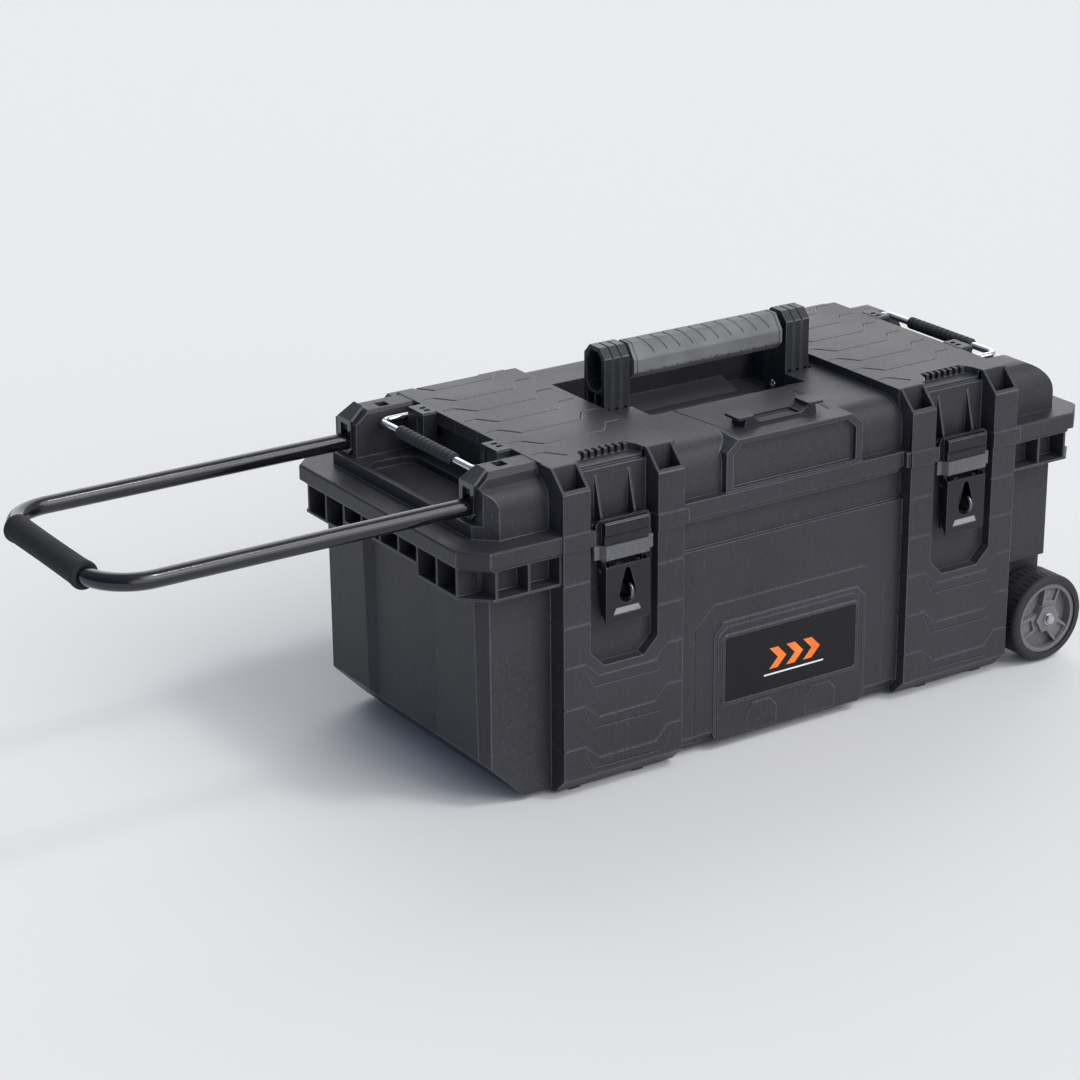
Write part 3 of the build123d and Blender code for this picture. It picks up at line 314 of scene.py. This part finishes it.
# A plain motif on the name plate: three arrow heads over a line.
PRINT_FRONT, PRINT_BACK = -152.85, -152.5
HEAD_X, HEAD_Z, HEAD_PITCH = -26, 69, 20
heads = [chevron(HEAD_X + HEAD_PITCH * i, HEAD_Z, 20, 21, 10) for i in range(3)]
inlay("label_chevrons", heads, PRINT_FRONT, PRINT_BACK, orange_print, "tub")
LINE_LEFT, LINE_RIGHT, LINE_LOW, LINE_TOP = -32, 38.5, 62.8, 64.4
line = [(LINE_LEFT, LINE_LOW), (LINE_RIGHT, LINE_LOW), (LINE_RIGHT, LINE_TOP), (LINE_LEFT, LINE_TOP)]
inlay("label_line", [line], PRINT_FRONT, PRINT_BACK, pale_print, "tub")

# Bright backing of the slot in each latch lever, wider below than above.
LATCH_X = 197.5
SLOT_LOW, SLOT_TOP = 171.4, 177.1
SLOT_LOW_HALF, SLOT_TOP_HALF = 14.9, 12.2
for side, mid in (("left", -LATCH_X), ("right", LATCH_X)):
    slot = [(mid - SLOT_LOW_HALF, SLOT_LOW), (mid + SLOT_LOW_HALF, SLOT_LOW),
            (mid + SLOT_TOP_HALF, SLOT_TOP), (mid - SLOT_TOP_HALF, SLOT_TOP)]
    inlay(side + "_lever_slot", [slot], -165.3, -164.5, slot_metal, side + "_latch_lever")


def turned_y(name, profile, x, z, material, body, count=40):
    """Body of revolution about a line along Y. Profile is (y, radius) in millimetres."""
    verts, faces = [], []
    for y, radius in profile:
        for i in range(count):
            a = 2 * math.pi * i / count
            verts.append(((x + radius * math.cos(a)) / 1000, y / 1000, (z + radius * math.sin(a)) / 1000))
    rings = len(profile)
    for r in range(rings):
        nxt = (r + 1) % rings
        for i in range(count):
            j = (i + 1) % count
            faces.append([r * count + i, r * count + j, nxt * count + j, nxt * count + i])
    piece = mesh_piece(name, verts, faces, material, body)
    piece.data.polygons.foreach_set("use_smooth", [True] * len(piece.data.polygons))
    return piece


# Foam sleeve of the pull handle: pressed in along the middle, fuller at both cut ends.
SLEEVE = [(68.0, 7.6), (68.0, 11.4), (67.5, 12.3), (66.3, 12.9), (64.0, 12.9), (61.0, 12.5), (55.0, 12.2),
          (30.0, 12.0), (10.0, 11.9)]
CROSS_BAR_X, CROSS_BAR_Z = -675.0, 281.0
sleeve_profile = SLEEVE + [(-y, radius) for y, radius in reversed(SLEEVE)]
sleeve = turned_y("foam_sleeve", sleeve_profile, CROSS_BAR_X, CROSS_BAR_Z, foam, "pull_handle")
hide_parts("pull_grip")


# ---- stage, camera and light -------------------------------------------------------------
SPREAD = 40.0
FLOOR_Z = -0.0004
corners = [(x * SPREAD, y * SPREAD, FLOOR_Z) for x, y in ((-1, -1), (1, -1), (1, 1), (-1, 1))]
floor_mesh = bpy.data.meshes.new("floor")
floor_mesh.from_pydata(corners, [], [(0, 1, 2, 3)])
floor = bpy.data.objects.new("floor", floor_mesh)
scene.collection.objects.link(floor)
floor_paint = Tree("floor_paint", (0.78, 0.775, 0.765), 0.85)
floor_paint.set(Specular_IOR_Level=0.1)
floor_mesh.materials.append(floor_paint.material)

EYE = (-1.61576, -2.18536, 1.18262)
YAW, PITCH, ROLL = 0.5807, 0.3648, -0.0078
LENS = 99.46
forward = Vector((math.sin(YAW) * math.cos(PITCH), math.cos(YAW) * math.cos(PITCH), -math.sin(PITCH)))
level = Vector((math.cos(YAW), -math.sin(YAW), 0))
above = level.cross(forward)
right = level * math.cos(ROLL) + above * math.sin(ROLL)
up = above * math.cos(ROLL) - level * math.sin(ROLL)
camera_data = bpy.data.cameras.new("camera")
camera_data.sensor_width = 36.0
camera_data.lens = LENS
camera_data.clip_end = 200.0
camera = bpy.data.objects.new("camera", camera_data)
turn = Matrix((right, up, -forward)).transposed().to_4x4()
camera.matrix_world = Matrix.Translation(EYE) @ turn
scene.collection.objects.link(camera)
scene.camera = camera


def sun(name, strength, spread, azimuth, elevation):
    """Soft distant light that comes from an azimuth (0 is -Y, 90 is +X) and an elevation."""
    data = bpy.data.lights.new(name, "SUN")
    data.energy = strength
    data.angle = math.radians(spread)
    lamp = bpy.data.objects.new(name, data)
    a, e = math.radians(azimuth), math.radians(elevation)
    source = Vector((math.sin(a) * math.cos(e), -math.cos(a) * math.cos(e), math.sin(e)))
    lamp.rotation_euler = source.to_track_quat("Z", "Y").to_euler()
    scene.collection.objects.link(lamp)


sun("key", 1.3, spread=45, azimuth=30, elevation=45)
sun("spark", 0.45, spread=9, azimuth=38, elevation=58)
sun("fill", 1.3, spread=60, azimuth=4, elevation=14)
sun("back", 1.1, spread=60, azimuth=147, elevation=27)

# Studio surround: dim and bluish on the left, bright and neutral overhead and on the right.
BRIGHT_SIDE = (0.85, 0.1, 0.52)
DIM_BLUE = (0.07, 0.12, 0.24, 1)
BRIGHT_GREY = (0.50, 0.51, 0.53, 1)
world = bpy.data.worlds.new("studio")
world.use_nodes = True
sky = world.node_tree
place = sky.nodes.new("ShaderNodeTexCoord")
facing = sky.nodes.new("ShaderNodeVectorMath")
facing.operation = "DOT_PRODUCT"
facing.inputs[1].default_value = BRIGHT_SIDE
sky.links.new(place.outputs["Generated"], facing.inputs[0])
ramp = sky.nodes.new("ShaderNodeMapRange")
ramp.inputs["From Min"].default_value = -0.6
ramp.inputs["From Max"].default_value = 0.8
sky.links.new(facing.outputs["Value"], ramp.inputs["Value"])
tint = sky.nodes.new("ShaderNodeMix")
tint.data_type = "RGBA"
tint.inputs[6].default_value = DIM_BLUE
tint.inputs[7].default_value = BRIGHT_GREY
sky.links.new(ramp.outputs["Result"], tint.inputs["Factor"])
sky.links.new(tint.outputs[2], sky.nodes["Background"].inputs["Color"])
sky.nodes["Background"].inputs["Strength"].default_value = 1.0
scene.world = world
scene.view_settings.view_transform = "Standard"
